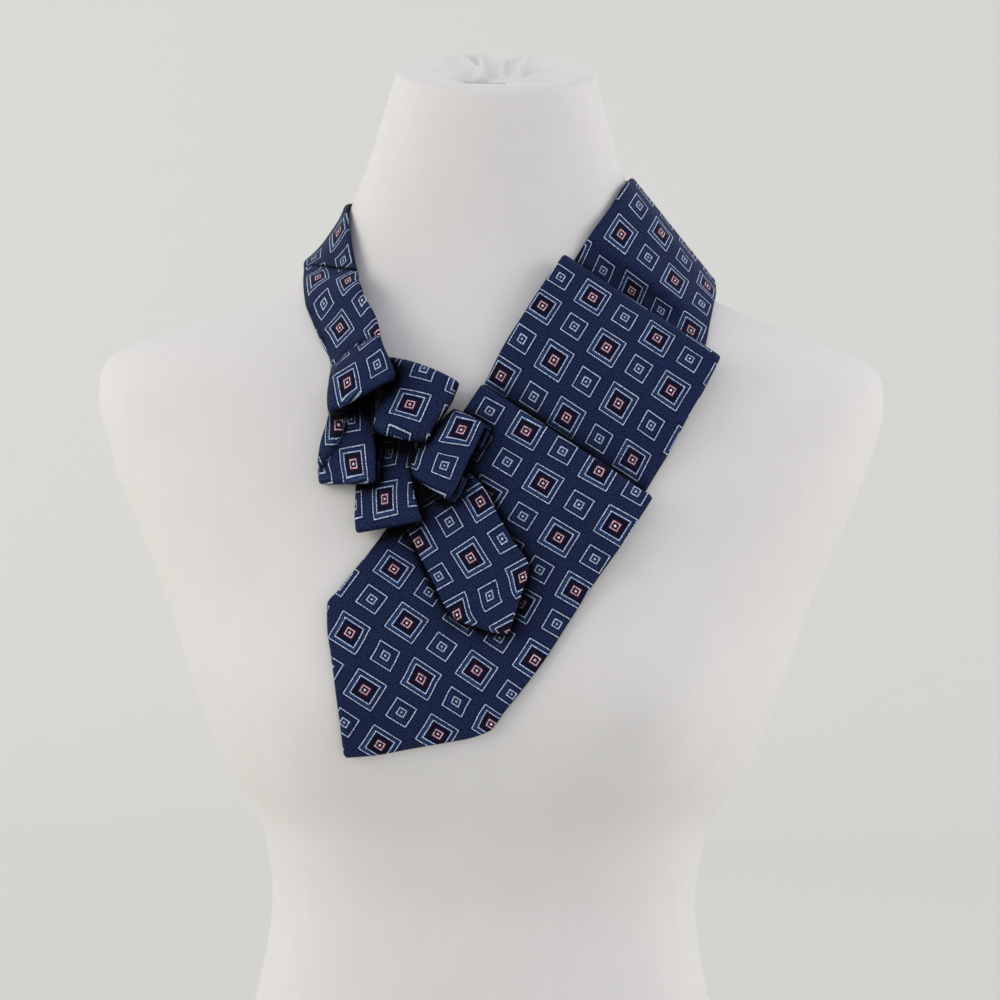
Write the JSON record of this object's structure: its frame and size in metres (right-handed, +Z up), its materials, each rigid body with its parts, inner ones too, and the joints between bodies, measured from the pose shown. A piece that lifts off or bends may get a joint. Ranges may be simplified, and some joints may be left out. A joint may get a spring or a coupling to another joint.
{
  "type": "cravat on dress form",
  "caption": "Wide silk necktie folded and tacked into a ruffled cravat with a pointed blade, worn on a limbless dress form that stands on its flat base",
  "frame": {"origin": "centre of the form's flat base, on the surface that it stands on", "axes": "+Z up, -Y towards the front, +X to the right as seen from the front"},
  "size_m": [0.409, 0.241, 0.6573],
  "materials": {
    "silk": "navy woven silk with a soft sheen and a repeat of nested squares",
    "jersey": "matt off-white stretch jersey pulled over the form"
  },
  "bodies": {
    "root": {"dress_form": "jersey", "neck_back": "silk", "neck_right": "silk", "upper_pleat": "silk", "front_blade": "silk", "neck_left": "silk", "loop_outer": "silk", "loop_lower": "silk", "loop_top": "silk", "loop_inner": "silk", "tail": "silk"}
  },
  "joints": []
}
